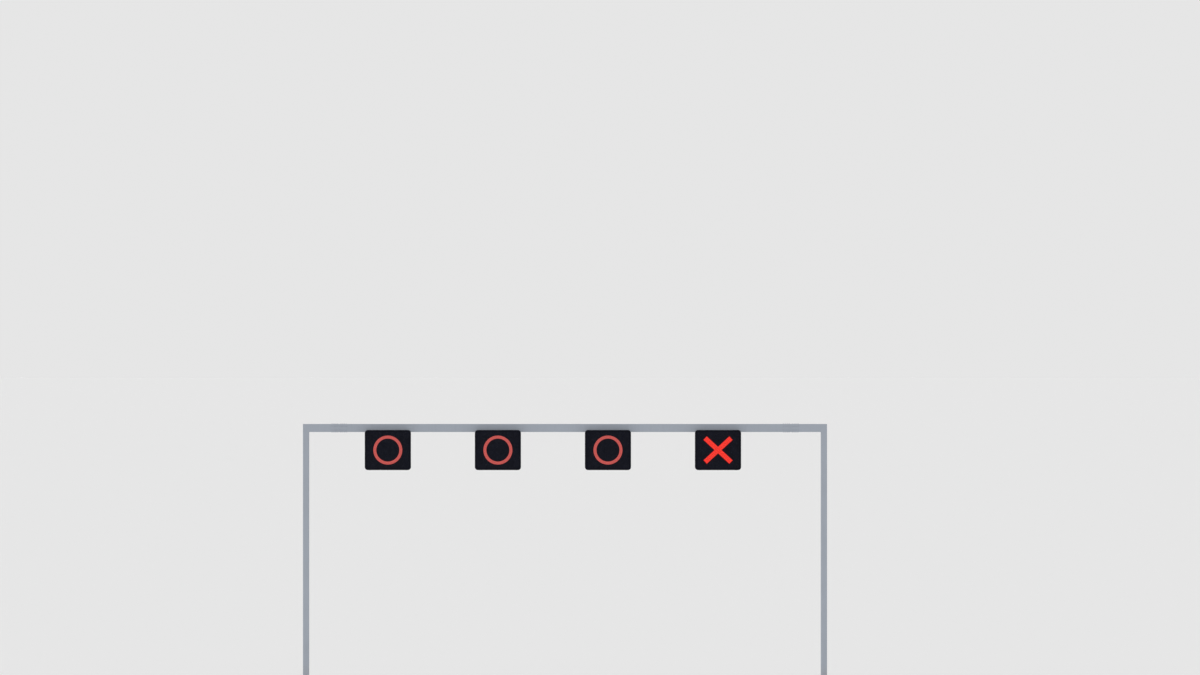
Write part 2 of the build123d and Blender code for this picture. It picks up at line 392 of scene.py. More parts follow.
class Paint:
    """A material's node tree, with short calls for what this scene needs."""

    def __init__(self, name, **sockets):
        self.material = bpy.data.materials.new(name)
        self.material.use_nodes = True
        self.tree = self.material.node_tree
        self.shader = self.tree.nodes["Principled BSDF"]
        self.finish(**sockets)
        self.place = self.add("TexCoord")["Object"]

    def add(self, kind, inputs=None, **settings):
        """Adds a node and gives its outputs."""
        return add_node(self.tree, kind, inputs, **settings)

    def finish(self, **sockets):
        """Sets or links the shader's own inputs."""
        for name, value in sockets.items():
            put(self.tree, self.shader.inputs[name.replace("_", " ")], value)

    def noise(self, size, detail, stretch=None, roughness=0.5):
        """Noise with blotches of about this size. stretch scales its coordinates along each axis."""
        place = self.add("Mapping", {"Vector": self.place, "Scale": stretch})[0] if stretch else self.place
        inputs = {"Vector": place, "Scale": 1 / size, "Detail": detail, "Roughness": roughness}
        return self.add("TexNoise", inputs)["Fac"]

    def cells(self, size):
        """A random grey for each cell of a pattern, and the distance to its middle."""
        return self.add("TexVoronoi", {"Vector": self.place, "Scale": 1 / size})

    def spread(self, value, low, high, to_low=0.0, to_high=1.0):
        """A value's range mapped to another one."""
        inputs = {"Value": value, "From Min": low, "From Max": high, "To Min": to_low, "To Max": to_high}
        return self.add("MapRange", inputs)[0]

    def blotches(self, size, detail, low=0.3, high=0.7, to_low=0.0, to_high=1.0, **more):
        """Noise with its range mapped to another one."""
        return self.spread(self.noise(size, detail, **more), low, high, to_low, to_high)

    def math(self, kind, first, second):
        """One sum on two values."""
        return self.add("Math", {0: first, 1: second}, operation=kind)[0]

    def mix(self, share, first, second):
        """Two colours mixed."""
        return self.add("Mix", {0: share, 6: first, 7: second}, data_type="RGBA")[2]

    def position(self, axis):
        """One coordinate of the surface."""
        return self.add("SeparateXYZ", {0: self.place})[axis]

    def normal(self):
        """The surface's direction."""
        return self.add("NewGeometry")["Normal"]

    def upward(self):
        """How far the surface faces up."""
        return self.add("SeparateXYZ", {0: self.normal()})["Z"]

    def rounded(self, radius):
        """The surface's direction, with its sharp edges rounded off."""
        return self.add("Bevel", {"Radius": radius}, samples=4)[0]

    def near_edge(self, rounded):
        """How near an edge is, from 0 to 1, by how far the rounded direction turns."""
        product = self.add("VectorMath", {0: rounded, 1: self.normal()}, operation="DOT_PRODUCT")
        return self.spread(product["Value"], 1.0, 0.9)

    def bump(self, value, distance, strength, under=None):
        """Relief of some depth in metres, on the surface's own direction or on the one given."""
        inputs = {"Strength": strength, "Distance": distance, "Height": value}
        if under:
            inputs["Normal"] = under
        self.finish(Normal=self.add("Bump", inputs)[0])


def shade(colour, factor):
    """A colour made lighter or darker."""
    return tuple(channel * factor for channel in colour) + (1.0,)


STEEL = (0.328, 0.361, 0.413)
BRACKET_ZINC = (0.43, 0.46, 0.49)
FASTENER_ZINC = (0.43, 0.46, 0.50)
BLACK = (0.0046, 0.0053, 0.0106)
DUST = (0.30, 0.285, 0.26)
PRIMER = (0.15, 0.135, 0.125, 1)
RUST = (0.17, 0.10, 0.062, 1)
RUBBER = ((0.011, 0.011, 0.012, 1), (0.026, 0.026, 0.027, 1))
FLOOR_COLOUR = (0.84, 0.84, 0.84, 1)


def frame_colour(paint):
    """The frame's grey: clouds, mottling, rain streaks, specks, road dirt at the feet and dust on top."""
    base = paint.mix(paint.blotches(0.9, 4), shade(STEEL, 0.975), shade(STEEL, 1.055))
    base = paint.mix(paint.blotches(0.02, 4, 0.35, 0.65, 0.0, 0.6), base, shade(STEEL, 0.96))
    for width, stretch, share in ((0.055, 0.045, 0.17), (0.008, 0.04, 0.12)):
        streaks = paint.blotches(width, 3, 0.52, 0.78, 0.0, share, stretch=(1, 1, stretch))
        base = paint.mix(streaks, base, shade(STEEL, 0.70))
    base = paint.mix(paint.blotches(0.012, 2, 0.66, 0.76, 0.0, 0.4), base, shade(STEEL, 0.78))
    low = paint.spread(paint.position("Z"), 0.05, 0.75, 0.75, 0.0)
    splash = paint.math("MULTIPLY", low, paint.blotches(0.11, 5, 0.3, 0.75))
    base = paint.mix(splash, base, shade(DUST, 0.9))
    level = paint.spread(paint.upward(), 0.6, 1.0, 0.0, 0.45)
    settled = paint.math("MULTIPLY", level, paint.blotches(0.3, 4, 0.35, 0.7))
    return paint.mix(settled, base, shade(DUST, 1.2))


def painted_steel():
    """Grey paint over steel, chipped here and there, mostly near the ground, and worn at its edges."""
    paint = Paint("painted_steel", IOR=1.45)
    rounded = paint.rounded(0.0035)
    often = paint.spread(paint.position("Z"), 0.4, 3.0, 1.0, 0.25)
    chips = paint.math("MULTIPLY", paint.blotches(0.018, 5, 0.68, 0.70, roughness=0.7), often)
    patches = paint.blotches(0.012, 5, 0.55, 0.62, 0.0, 0.8, roughness=0.7)
    bare = paint.math("MAXIMUM", chips, paint.math("MULTIPLY", paint.near_edge(rounded), patches))
    metal = paint.mix(paint.blotches(0.006, 3, 0.4, 0.6), PRIMER, RUST)
    sheen = paint.blotches(0.25, 4, 0.3, 0.7, 0.42, 0.58)
    dull = paint.math("MAXIMUM", sheen, paint.math("MULTIPLY", bare, 0.75))
    paint.finish(Base_Color=paint.mix(bare, frame_colour(paint), metal), Roughness=dull)
    paint.bump(paint.math("SUBTRACT", paint.noise(0.004, 2), bare), 0.00015, 0.7, rounded)
    return paint.material


def zinc(name, colour, metallic):
    """Hot-dip zinc with its crystal pattern, dull clouds and pale rain marks."""
    paint = Paint(name, Metallic=metallic)
    crystals = paint.cells(0.011)
    base = paint.mix(paint.spread(crystals["Color"], 0, 1), shade(colour, 0.82), shade(colour, 1.16))
    grain = paint.blotches(0.003, 4, 0.3, 0.7, 0.0, 0.35)
    base = paint.mix(grain, base, shade(colour, 0.9))
    base = paint.mix(paint.blotches(0.12, 4, 0.35, 0.7, 0.0, 0.3), base, shade(colour, 0.76))
    marks = paint.blotches(0.02, 4, 0.55, 0.75, 0.0, 0.35, stretch=(1, 1, 0.12))
    dull = paint.spread(crystals["Color"], 0, 1, 0.40, 0.62)
    paint.finish(Base_Color=paint.mix(marks, base, shade(colour, 1.3)), Roughness=dull)
    domes = paint.spread(crystals["Distance"], 0, 0.6)
    relief = paint.math("ADD", domes, paint.math("MULTIPLY", grain, 0.5))
    paint.bump(relief, 0.0001, 0.6, paint.rounded(0.0015))
    return paint.material


def weld_metal():
    """Welds under the frame's paint, with a little rust where it has chipped."""
    paint = Paint("weld_paint")
    chips = paint.blotches(0.02, 5, 0.62, 0.68, 0.0, 0.55, roughness=0.65)
    dull = paint.blotches(0.02, 3, 0.3, 0.7, 0.45, 0.66)
    paint.finish(Base_Color=paint.mix(chips, frame_colour(paint), RUST), Roughness=dull)
    paint.bump(paint.noise(0.002, 2), 0.0002, 0.5)
    return paint.material


def black_coat():
    """The cases' black powder coating: leathery, with dust on top, chalky patches and run marks."""
    paint = Paint("black_powder_coat", Specular_IOR_Level=0.16)
    chalk = paint.blotches(0.35, 5, 0.45, 0.8, 0.0, 0.25)
    base = paint.mix(chalk, shade(BLACK, 1.0), shade(BLACK, 2.0))
    runs = paint.blotches(0.03, 3, 0.58, 0.8, 0.0, 0.2, stretch=(1, 1, 0.06))
    base = paint.mix(runs, base, shade(DUST, 0.16))
    patches = paint.blotches(0.05, 6, 0.3, 0.7, 0.45, 1.0, roughness=0.65)
    level = paint.spread(paint.upward(), 0.5, 1.0, 0.0, 0.3)
    settled = paint.math("MULTIPLY", level, patches)
    dull = paint.blotches(0.15, 4, 0.3, 0.7, 0.44, 0.62)
    paint.finish(Base_Color=paint.mix(settled, base, shade(DUST, 0.30)), Roughness=dull)
    paint.bump(paint.noise(0.0022, 2), 0.00015, 0.7, paint.rounded(0.0015))
    return paint.material


def black_panel():
    """The matt black panel between and behind the lamps."""
    paint = Paint("black_panel", Specular_IOR_Level=0.08)
    tone = paint.blotches(0.2, 4)
    dull = paint.blotches(0.05, 3, 0.3, 0.7, 0.75, 0.92)
    paint.finish(Base_Color=paint.mix(tone, shade(BLACK, 0.75), shade(BLACK, 1.15)), Roughness=dull)
    paint.bump(paint.noise(0.0012, 2), 0.0001, 0.6)
    return paint.material


def dark_lens():
    """Unlit lamp lenses: smoked, glossy and a little uneven."""
    paint = Paint("unlit_lens", Specular_IOR_Level=0.3)
    tone = paint.blotches(0.04, 2, 0.35, 0.65)
    dull = paint.blotches(0.1, 2, 0.3, 0.7, 0.16, 0.3)
    paint.finish(Base_Color=paint.mix(tone, shade(BLACK, 0.7), shade(BLACK, 1.9)), Roughness=dull)
    return paint.material


# Lit lamps: their size, the strips' and lenses' reds, and the brighter and paler glow of a lens's crown
LIT_RADIUS, LIT_HEIGHT = 0.0115, 0.0036
RED_RING = (0.548, 0.086, 0.078)
RED_CROSS = (0.955, 0.030, 0.018)
CROWN, HOT, HOT_SHARE = 1.65, (1.0, 0.46, 0.38), 0.13
CROWN_POWER = 1.7


def lit_strip(name, colour):
    """The moulded strip under the lit lamps, which glows dimly."""
    paint = Paint(name, Specular_IOR_Level=0.1)
    tone = paint.blotches(0.05, 3)
    base = paint.mix(tone, shade(colour, 0.16), shade(colour, 0.20))
    glow = paint.mix(tone, shade(colour, 0.42), shade(colour, 0.49))
    grain = paint.cells(0.004)
    dull = paint.spread(grain["Color"], 0, 1, 0.35, 0.5)
    paint.finish(Base_Color=base, Roughness=dull, Emission_Color=glow, Emission_Strength=1.0)
    paint.bump(paint.spread(grain["Distance"], 0, 0.6), 0.0003, 0.7)
    return paint.material


def lit_lens(name, colour, rim):
    """Lit lamp lenses. They glow most at their crowns, which stand out furthest from their rims."""
    paint = Paint(name, Specular_IOR_Level=0.1)
    stands_out = paint.spread(paint.position("Y"), rim - LIT_HEIGHT * 0.2, rim - LIT_HEIGHT)
    tone = paint.blotches(0.03, 2)
    rim_glow = paint.mix(tone, shade(colour, 0.50), shade(colour, 0.58))
    crown = [CROWN * channel + HOT_SHARE * hot for channel, hot in zip(colour, HOT)]
    crown_glow = paint.mix(tone, shade(crown, 0.94), shade(crown, 1.06))
    glow = paint.mix(paint.math("POWER", stands_out, CROWN_POWER), rim_glow, crown_glow)
    dull = paint.blotches(0.01, 2, 0.3, 0.7, 0.22, 0.4)
    paint.finish(Base_Color=shade(colour, 0.2), Roughness=dull, Emission_Color=glow, Emission_Strength=1.0)
    return paint.material


def rubber():
    """Black rubber and hard black plastic fittings."""
    paint = Paint("black_rubber", Specular_IOR_Level=0.2)
    dull = paint.blotches(0.02, 3, 0.3, 0.7, 0.55, 0.8)
    paint.finish(Base_Color=paint.mix(paint.blotches(0.03, 4), *RUBBER), Roughness=dull)
    paint.bump(paint.noise(0.001, 2), 0.0001, 0.5)
    return paint.material


steel = painted_steel()
bracket = zinc("bracket_zinc", BRACKET_ZINC, 0.55)
bright = zinc("fastener_zinc", FASTENER_ZINC, 0.7)
weld = weld_metal()
coat = black_coat()
panel = black_panel()
unlit = dark_lens()
black = rubber()
ring_strip = lit_strip("ring_strip", RED_RING)
ring_lens = lit_lens("ring_lens", RED_RING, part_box("sign_1_ring")[0].y)
cross_strip = lit_strip("cross_strip", RED_CROSS)
cross_lens = lit_lens("cross_lens", RED_CROSS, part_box("sign_4_cross")[0].y)

FINISHES = {
    "frame_steel": steel,
    "bracket_steel": bracket,
    "case_black": coat,
    "face_black": panel,
    "ring_lamps": ring_strip,
    "cross_lamps": cross_strip,
    "conduit_black": black,
}


def dress_solids():
    """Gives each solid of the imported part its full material."""
    for row in frame["record"]["subparts"]:
        for held in nodes[row["node"]].material_slots:
            held.material = FINISHES[row["material_slot"]]


# Feet: anchor bolts and welds
ANCHORS = [(x, y) for x in (-0.175, 0.175) for y in (-0.275, 0.0, 0.275)]
POST_SIZE = (0.2, 0.4)
POST_CORNER = 0.015
FOOT_LEG = 0.010
RIB_LEG = 0.007
RIB_HALF = 0.0075
RIB_COPE = 0.018
RIB_HEIGHT = 0.25
RIB_FOOT = 0.128
SIDE_RIBS = 0.13
END_RIBS = 0.055


def rib_welds(soup, root, outward):
    """The welds on both sides of one rib, along the post and the base plate."""
    start, top, foot = RIB_COPE + WELD_END, RIB_HEIGHT - WELD_END, RIB_FOOT - WELD_END
    for sideways in (outward.cross(Z), Z.cross(outward)):
        edge = root + sideways * RIB_HALF
        fillet_line(soup, edge + Z * start, edge + Z * top, sideways, outward, RIB_LEG)
        fillet_line(soup, edge + outward * start, edge + outward * foot, sideways, Z, RIB_LEG)


def dress_foot(side):
    """One foot's anchor bolts and welds."""
    low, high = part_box(side + "_base_plate")
    centre = Vector(((low.x + high.x) / 2, 0, high.z))
    bolts = Soup()
    for x, y in ANCHORS:
        anchor(bolts, centre + Vector((x, y, 0)), high.z - low.z)
    bolts.piece(side + "_anchor_bolts", bright, "bracket_steel")
    beads = Soup()
    fillet_round(beads, POST_SIZE, POST_CORNER, Matrix.Translation(centre), FOOT_LEG)
    for sign in (-1, 1):
        for half in (-1, 1):
            rib_welds(beads, centre + Vector((sign * POST_SIZE[0] / 2, half * SIDE_RIBS, 0)), X * sign)
            rib_welds(beads, centre + Vector((half * END_RIBS, sign * POST_SIZE[1] / 2, 0)), Y * sign)
    beads.piece(side + "_foot_welds", weld, "frame_steel", BEAD_EDGES)


# Knees: the butt welds' half width and height, the inner corner's fillet and the beam's rounded edges
KNEE_SEAM = (0.006, 0.0018)
CAP_SEAM = (0.005, 0.0014)
KNEE_LEG = 0.009
BEAM_CORNER = 0.008


def dress_knee(side):
    """The welds where one post meets the beam, and round the beam's end cap."""
    post_low, post_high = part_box(side + "_post")
    cap_low, cap_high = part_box(side + "_beam_end_cap")
    beads = Soup()
    under = Vector(((post_low.x + post_high.x) / 2, 0, post_high.z))
    seam_round(beads, POST_SIZE, POST_CORNER, Matrix.Translation(under), *KNEE_SEAM)
    inward, joint = (X, cap_high.x) if side == "left" else (-X, cap_low.x)
    corner = under + inward * POST_SIZE[0] / 2
    reach = Y * (POST_SIZE[1] / 2 - POST_CORNER)
    fillet_line(beads, corner - reach, corner + reach, inward, -Z, KNEE_LEG)
    place = facing(Vector((joint, 0, (cap_low.z + cap_high.z) / 2)), X)
    size = (cap_high.y - cap_low.y, cap_high.z - cap_low.z)
    seam_round(beads, size, BEAM_CORNER, place, *CAP_SEAM)
    beads.piece(side + "_knee_welds", weld, "frame_steel", BEAD_EDGES)


SPLICE_COLUMNS = (0.05, 0.113, 0.176, 0.239)
UPRIGHT_ROWS = (-0.062, 0.062)
LEVEL_ROWS = (-0.129, -0.043, 0.043, 0.129)


def dress_splice(side):
    """The bolts through the beam's walls into the plates in one of its joints."""
    centre = middle(side + "_splice_plates")
    low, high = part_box("main_beam")
    bolts = Soup()
    for column in SPLICE_COLUMNS:
        for x in (centre.x - column, centre.x + column):
            for z in UPRIGHT_ROWS:
                bolt(bolts, Vector((x, low.y, centre.z + z)), -Y, M16)
                bolt(bolts, Vector((x, high.y, centre.z + z)), Y, M16)
            for y in LEVEL_ROWS:
                bolt(bolts, Vector((x, y, low.z)), -Z, M16)
                bolt(bolts, Vector((x, y, high.z)), Z, M16)
    bolts.piece(side + "_splice_bolts", steel, "frame_steel")


# Seals: how far they reach under their plates, and their upper edges' share of their reach
SEAL_LAP, SEAL_SLOPE = 0.001, 0.7


def sealed_edge(soup, low, high, radius, reach, rise):
    """A bead of sealant or rubber round a rear plate, where it meets what it lies on."""
    place = facing(Vector(((low.x + high.x) / 2, low.y, (low.z + high.z) / 2)), Y)
    pairs = ((-SEAL_LAP, -SUNK), (reach, -SUNK), (reach * SEAL_SLOPE, rise), (-SEAL_LAP, rise))
    rimmed(soup, (high.x - low.x, high.z - low.z), radius, place, pairs)


# Cable access covers: screws, seal and, below them, the earth studs, with heights from the post
COVER_SCREW, COVER_INSET, COVER_SCREW_END = 0.0075, 0.014, 0.055
COVER_CORNER = 0.0525
COVER_SEAL = (0.003, 0.002)  # reach and rise
EARTH_DROP = 0.35
EARTH_BOSS = (0.02, -SUNK, 0.008, 0.001)
EARTH_WASHER = ((0.012, 0.0078), (0.012, 0.0103))
EARTH_NUT = (0.018, 0.0101, 0.0201, 0.002)
EARTH_THREAD = (0.006, 0.0006, 0.00175, 0.0195, 0.038)


def dress_cover(side):
    """One cable access cover's screws and seal, and the earth stud below it."""
    low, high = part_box(side + "_hand_hole_cover")
    centre = (low + high) / 2
    screws = Soup()
    for x in (low.x + COVER_INSET, high.x - COVER_INSET):
        for z in (low.z + COVER_SCREW_END, centre.z, high.z - COVER_SCREW_END):
            socket_screw(screws, Vector((x, high.y, z)), Y, COVER_SCREW)
    stud = facing(Vector((centre.x, low.y, low.z - EARTH_DROP)), Y)
    screws.stack(disc(*EARTH_BOSS, FINE), stud)
    screws.stack(turned(EARTH_WASHER, FAIR), stud)
    screws.stack(hexagon(*EARTH_NUT), stud)
    screws.stack(thread(*EARTH_THREAD, ROUGH), stud)
    screws.piece(side + "_cover_screws", bright, "bracket_steel")
    seal = Soup()
    sealed_edge(seal, low, high, COVER_CORNER, *COVER_SEAL)
    seal.piece(side + "_cover_seal", black, "frame_steel")


# Signs: lamps
LAMP_PITCH = 0.025
TILE = 0.2
TILE_GAP = 0.003
TILE_COLUMNS, TILE_ROWS = 7, 6
TILE_DEPTH = 0.003
TILE_CORNER, TILE_BEVEL = 0.003, 0.0012
LIT_APART = 2 * LIT_RADIUS
UNLIT_RADIUS, UNLIT_HEIGHT = 0.006, 0.0035
LENS_EDGES = 80  # degrees from which a lens's edges are sharp
RING_RADIUS, RING_HALF = 0.431, 0.05
RING_ROWS = (-1.5, -0.5, 0.5, 1.5)
CROSS_SPAN, CROSS_RISE, CROSS_HALF = 0.862, 0.796, 0.083
CROSS_SLOPE = math.atan2(CROSS_RISE, CROSS_SPAN)
CROSS_REACH = math.hypot(CROSS_SPAN, CROSS_RISE) / 2
CROSS_ROWS = 6
CROSSING_SHIFT = 0.0035  # of the second arm's lamps away from the crossing, so that they fill it evenly

# Lens profiles up to their tips, as shares of the radius and heights in metres
UNLIT_LENS = ((1.0, -0.0004), (0.8, 0.6 * UNLIT_HEIGHT), (0.0, UNLIT_HEIGHT))
LIT_LENS = [(1.0, -0.0004), (0.98, 0.0007), (0.84, 0.0009)]
LIT_LENS += [(0.78, 0.45 * LIT_HEIGHT), (0.46, 0.86 * LIT_HEIGHT), (0.0, LIT_HEIGHT)]


def lens(radius, profile, sides):
    """The points and faces of a small lens that stands out towards the traffic, from its profile."""
    shape = Soup()
    rings = turned([(radius * share, height) for share, height in profile], sides)
    shape.stack(rings[:-1], facing(Vector(), -Y))
    rim, tip = shape.faces.pop(), len(shape.points)
    shape.points.append((0, -profile[-1][1], 0))
    shape.faces += [(rim[i - 1], rim[i], tip) for i in range(sides)]
    return shape.points, shape.faces


def grid(columns, rows, pitch):
    """The places of a grid round its middle."""
    across, up = ([(i - (count - 1) / 2) * pitch for i in range(count)] for count in (columns, rows))
    return [(x, z) for x in across for z in up]


def rotated(x, z, turn):
    """A place on a sign's face, turned round its middle."""
    return x * math.cos(turn) - z * math.sin(turn), x * math.sin(turn) + z * math.cos(turn)


def on_ring(x, z, margin):
    """Whether a place on a sign's face lies under the ring."""
    return abs(math.hypot(x, z) - RING_RADIUS) < RING_HALF + margin


def on_cross(x, z, margin):
    """Whether a place on a sign's face lies under one of the cross's arms."""
    for slope in (CROSS_SLOPE, -CROSS_SLOPE):
        along, across = rotated(x, z, -slope)
        if abs(along) < CROSS_REACH + margin and abs(across) < CROSS_HALF + margin:
            return True
    return False


def ring_lamps():
    """The places of the lit lamps on a ring: four rows round its middle."""
    places = []
    for row in RING_ROWS:
        radius = RING_RADIUS + row * LAMP_PITCH
        count = round(2 * math.pi * radius / LAMP_PITCH)
        for i in range(count):
            angle = 2 * math.pi * (i + 0.5 * (row % 2)) / count
            places.append(rotated(radius, 0, angle))
    return places


def cross_lamps():
    """The places of the lit lamps on the cross: rows on each arm, and none twice where they meet."""
    arm = grid(int(2 * CROSS_REACH / LAMP_PITCH), CROSS_ROWS, LAMP_PITCH)
    places = []
    for slope, shift in ((CROSS_SLOPE, 0.0), (-CROSS_SLOPE, CROSSING_SHIFT)):
        for along, across in arm:
            along += math.copysign(shift, along)
            x, z = rotated(along, across, slope)
            if not shift or all(math.hypot(x - u, z - w) > LIT_APART for u, w in places):
                places.append((x, z))
    return places


def lamp_tile(soup, place):
    """One square lamp board with a bevelled edge."""
    side = TILE - TILE_GAP
    inner = side - 2 * TILE_BEVEL
    outlines = ((side, side, -SUNK), (side, side, TILE_DEPTH - TILE_BEVEL), (inner, inner, TILE_DEPTH))
    plate(soup, outlines, TILE_CORNER, 2, place)


SMALL_SCREW = 0.0045
PANEL_SCREWS = [(x, z) for x in (-0.6, -0.3, 0.0, 0.3, 0.6) for z in (-0.619, 0.619)]
PANEL_SCREWS += [(x, z) for z in (-0.48, -0.16, 0.16, 0.48) for x in (-0.719, 0.719)]


def dress_face(name):
    """One sign's lamp boards, its unlit lamps and its lit lamps."""
    crossed = name + "cross" in nodes
    symbol = name + ("cross" if crossed else "ring")
    centre = middle(symbol)
    face_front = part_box(name + "face")[0].y
    symbol_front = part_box(symbol)[0].y

    def placed(spots, y):
        return [(centre.x + x, y, centre.z + z) for x, z in spots]

    tiles = Soup()
    for point in placed(grid(TILE_COLUMNS, TILE_ROWS, TILE), face_front):
        lamp_tile(tiles, facing(point, -Y))
    tiles.piece(name + "lamp_boards", panel, "face_black")
    screws = Soup()
    for point in placed(PANEL_SCREWS, face_front):
        socket_screw(screws, point, -Y, SMALL_SCREW)
    screws.piece(name + "panel_screws", black, "face_black")
    dark = Soup()
    covered = on_cross if crossed else on_ring
    lamps = grid(round(TILE_COLUMNS * TILE / LAMP_PITCH), round(TILE_ROWS * TILE / LAMP_PITCH), LAMP_PITCH)
    bare = [spot for spot in lamps if not covered(*spot, UNLIT_RADIUS)]
    dark.copies(*lens(UNLIT_RADIUS, UNLIT_LENS, 8), placed(bare, face_front - TILE_DEPTH))
    dark.piece(name + "unlit_lamps", unlit, "face_black", LENS_EDGES)
    lit = Soup()
    lamps = cross_lamps() if crossed else ring_lamps()
    lit.copies(*lens(LIT_RADIUS, LIT_LENS, ROUGH), placed(lamps, symbol_front))
    glass, slot = (cross_lens, "cross_lamps") if crossed else (ring_lens, "ring_lamps")
    lit.piece(name + "lit_lamps", glass, slot, LENS_EDGES)


# Air slots: a section as shares of depth and height, its size along the slot, and where the slots are
SLOT_SECTION = ((-0.05, 0.0), (1.0, 0.0), (1.0, 0.3), (0.82, 0.65), (0.45, 0.92), (0.0, 1.0))
SLOT_ENDS = ((-1, 0.15), (-0.9, 0.8), (-0.75, 1.0), (0.75, 1.0), (0.9, 0.8), (1, 0.15))
SLOT_LENGTH, SLOT_HEIGHT, SLOT_DEPTH = 0.105, 0.016, 0.010
SLOT_X = 0.6775
SLOT_PITCH, SLOT_COUNT = 0.026, 7
LOW_SLOTS, HIGH_SLOTS = 0.125, 0.88


def air_slot(soup, point):
    """One pressed air slot on a case's back, open downwards."""
    rings = []
    for share, scale in SLOT_ENDS:
        x = point.x + share * SLOT_LENGTH / 2
        rise = SLOT_HEIGHT * (0.5 + 0.5 * scale)
        reach = SLOT_DEPTH * scale
        rings.append([Vector((x, point.y + out * reach, point.z + up * rise)) for out, up in SLOT_SECTION])
    soup.stack(rings)


def slab(soup, low, high, bevel):
    """A box with all its edges bevelled."""
    width, depth = high.x - low.x, high.y - low.y
    outlines = []
    for level, inset in ((low.z, bevel), (low.z + bevel, 0), (high.z - bevel, 0), (high.z, bevel)):
        outlines.append((width - 2 * inset, depth - 2 * inset, level))
    plate(soup, outlines, bevel, 1, Matrix.Translation(((low.x + high.x) / 2, (low.y + high.y) / 2, 0)))


def swept(soup, points, radius, sides):
    """A round bar along a list of points."""
    rings = []
    side = None
    angles = [2 * math.pi * i / sides for i in range(sides)]
    for index, point in enumerate(points):
        before, after = points[max(index - 1, 0)], points[min(index + 1, len(points) - 1)]
        along = (after - before).normalized()
        side = (along.orthogonal() if side is None else side - along * side.dot(along)).normalized()
        other = along.cross(side)
        rings.append([point + (side * math.cos(a) + other * math.sin(a)) * radius for a in angles])
    soup.stack(rings)


def bent(corners, radius, steps=8):
    """Points along a line of corners, each rounded off."""
    points = [corners[0]]
    for before, corner, after in zip(corners, corners[1:], corners[2:]):
        inward, outward = (before - corner).normalized(), (after - corner).normalized()
        centre = corner + inward * radius + outward * radius
        for i in range(steps + 1):
            angle = math.pi / 2 * i / steps
            points.append(centre - outward * radius * math.cos(angle) - inward * radius * math.sin(angle))
    return points + [corners[-1]]


# Service doors. Hinge leaves: across the door's edge from and to, rise, bevel and line of screws
HINGES = (-0.27, 0.0, 0.27)
DOOR_LEAF = (-0.004, 0.042, 0.003, 0.001, 0.026)
FRAME_LEAF = (-0.045, -0.012, 0.016, 0.002, -0.0285)
LEAF_HALF = 0.045
LEAF_SCREW, LEAF_SCREWS = 0.005, (-0.03, 0.0, 0.03)
HINGE_PIN = (-0.008, -0.002)  # from the door's edge and from its outer side
KNUCKLES = (-0.046, -0.015, 0.016)
KNUCKLE = ((0.0065, 0), (0.0075, 0.001), (0.0075, 0.029), (0.0065, 0.03))
LOCKS = (-0.24, 0.24)
LOCK_INSET = 0.042
LOCK_RIM = ((0.018, -SUNK), (0.018, 0.003), (0.016, 0.005), (0.011, 0.005), (0.011, 0.001))
LOCK_CORE = ((0.0105, 0.0005), (0.0105, 0.006), (0.0095, 0.007), (0.006, 0.007), (0.006, 0.002))
LOCK_PIN = ((0.0045, 0.0018), (0.0045, 0.0062))
GRIP_HALF, GRIP_REACH, GRIP_BEND, GRIP_RADIUS = 0.065, 0.036, 0.016, 0.006
GRIP_FOOT = ((0.011, 0), (0.011, 0.003), (0.009, 0.0045))
DOOR_CORNER = 0.02
DOOR_SEAL = (0.005, 0.006)  # reach and rise
DRIP_RISE, DRIP_LAP, DRIP_EDGES = 0.022, 0.02, 25  # over the door, past its sides, and in degrees
DRIP_SECTION = [(-SUNK, 0.014), (0.0015, 0.014), (0.0015, 0.0015), (0.024, -0.003), (0.0255, -0.003)]
DRIP_SECTION += [(0.0255, -0.011), (0.024, -0.011), (0.0235, -0.004), (-SUNK, 0.0)]


def hinge(soup, edge, inner, outer, level):
    """A hinge: a leaf on the door's outer side, one on the case at its inner side, knuckles and screws."""
    leaves = ((outer, DOOR_LEAF), (inner, FRAME_LEAF))
    for base, (start, end, rise, bevel, _) in leaves:
        low = Vector((edge + start, base - SUNK, level - LEAF_HALF))
        slab(soup, low, Vector((edge + end, base + rise, level + LEAF_HALF)), bevel)
    for bottom in KNUCKLES:
        barrel = facing(Vector((edge + HINGE_PIN[0], outer + HINGE_PIN[1], level + bottom)), Z)
        soup.stack(turned(KNUCKLE, COARSE), barrel)
    for up in LEAF_SCREWS:
        for base, (_, _, rise, _, line) in leaves:
            socket_screw(soup, Vector((edge + line, base + rise, level + up)), Y, LEAF_SCREW)


